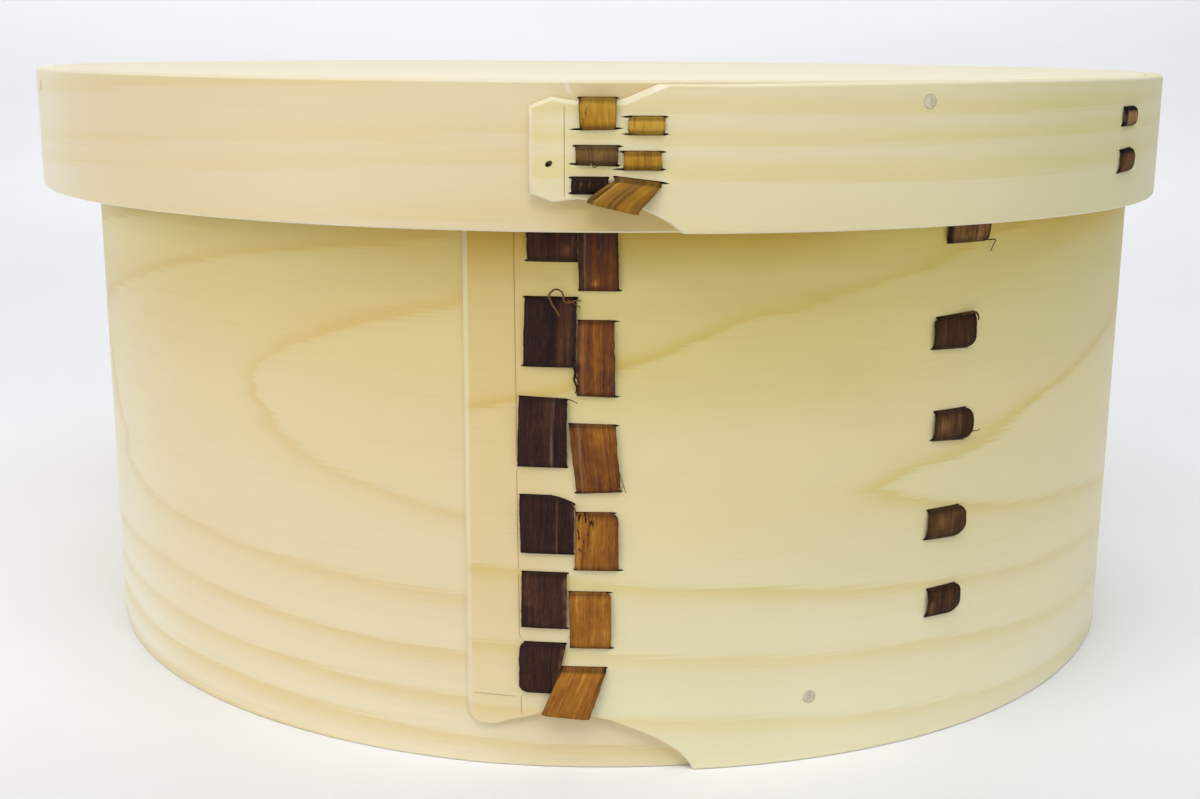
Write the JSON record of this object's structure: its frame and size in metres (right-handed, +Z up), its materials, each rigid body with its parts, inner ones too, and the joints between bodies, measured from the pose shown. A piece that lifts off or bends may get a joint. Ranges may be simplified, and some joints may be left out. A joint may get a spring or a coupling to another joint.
{
  "type": "bentwood rice container",
  "caption": "Round bentwood rice container with an overlapping lift-off lid; lapped wall boards laced with bark strips, and pegged bottom and lid boards.",
  "frame": {"origin": "centre of the base rim, on the surface that the container stands on", "axes": "+Z up along the body's axis; -Y faces the front, where both laps are; +X to the right"},
  "size_m": [0.2462, 0.2492, 0.12],
  "materials": {
    "hoop_wood": "planed, unfinished pale softwood, satin",
    "board_wood": "planed, unfinished pale softwood, satin",
    "dowel_bamboo": "split bamboo",
    "peg_wood": "end grain, cut flush",
    "bark_dark": "dark bark strip, satin with fine streaks",
    "bark_light": "lighter bark strip, satin with fine streaks",
    "bark_brown": "brown bark strip, satin with fine streaks"
  },
  "bodies": {
    "container": {"body_hoop": "hoop_wood", "bottom_plank_front": "board_wood", "bottom_plank_middle": "board_wood", "bottom_plank_rear": "board_wood", "bottom_dowels": "dowel_bamboo", "body_pegs": "peg_wood", "body_lap_bark_left": "bark_dark", "body_lap_bark_right": "bark_light", "body_end_bark": "bark_brown"},
    "lid": {"lid_hoop": "hoop_wood", "lid_plank_front": "board_wood", "lid_plank_middle": "board_wood", "lid_plank_rear": "board_wood", "lid_dowels": "dowel_bamboo", "lid_pegs": "peg_wood", "lid_lap_bark_left": "bark_brown", "lid_lap_bark_right": "bark_light", "lid_end_bark": "bark_brown"}
  },
  "joints": [
    {"name": "lid_lift", "type": "slide", "parent": "container", "child": "lid", "axis": [0, 0, 1], "range_m": [0, 0.15]}
  ]
}
